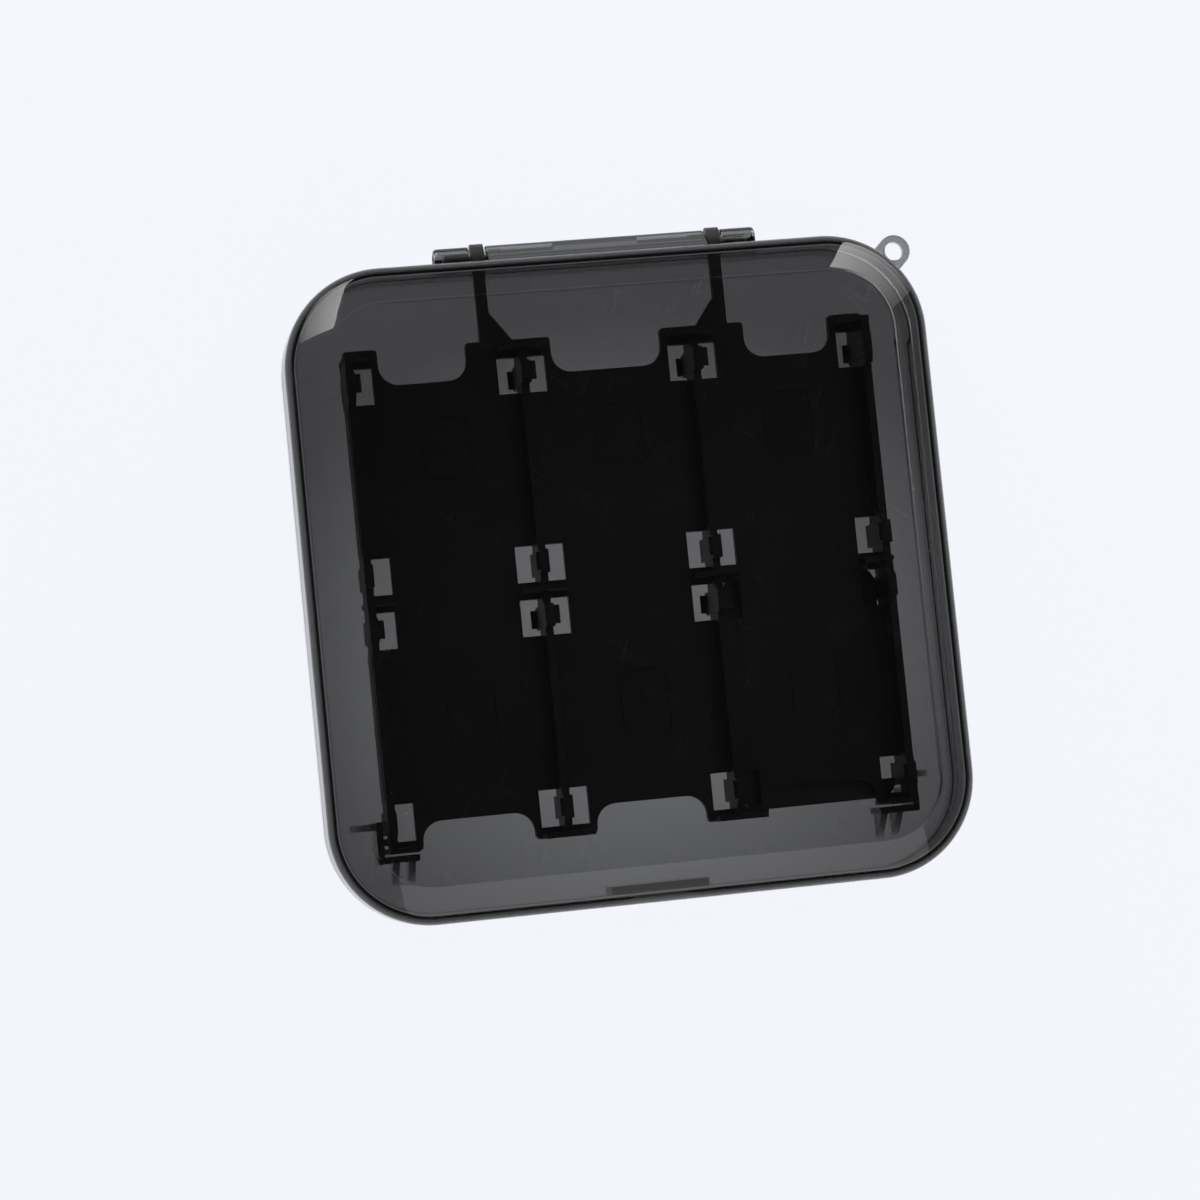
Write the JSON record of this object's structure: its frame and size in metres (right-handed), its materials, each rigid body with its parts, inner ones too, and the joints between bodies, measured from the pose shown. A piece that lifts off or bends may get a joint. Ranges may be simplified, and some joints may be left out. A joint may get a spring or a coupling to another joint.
{
  "type": "game card case",
  "caption": "Square smoke-clear clamshell case with rounded corners, a hinged two-sided black card tray, one seated card and a lanyard ring on a rear corner.",
  "frame": {"origin": "centre of the base shell's outer flat face, on which the closed case lies", "axes": "+Z out through the lid, +Y towards the hinge at the rear, +X to the right when the lid is looked at from outside with the hinge at the top"},
  "size_m": [0.0861, 0.0888, 0.0156],
  "materials": {
    "smoke_plastic": "polished clear smoke-grey moulding",
    "tray_plastic": "satin black moulding",
    "card_plastic": "fine matt dark moulding",
    "pin_steel": "drawn wire"
  },
  "bodies": {
    "base": {"base_shell": "smoke_plastic", "hinge_pin_left": "pin_steel", "hinge_pin_right": "pin_steel"},
    "lid": {"lid_shell": "smoke_plastic"},
    "tray": {"card_tray": "tray_plastic", "game_card": "card_plastic"}
  },
  "joints": [
    {"name": "lid_hinge", "type": "hinge", "parent": "base", "child": "lid", "pos_m": [0, 0.04405, 0.0078], "axis": [-1, 0, 0], "range_deg": [0, 180]},
    {"name": "tray_hinge", "type": "hinge", "parent": "base", "child": "tray", "pos_m": [0, 0.04405, 0.0078], "axis": [-1, 0, 0], "range_deg": [0, 90]}
  ],
  "couplings": [
    {"joint": "tray_hinge", "follows": "lid_hinge", "ratio": 0.5}
  ]
}
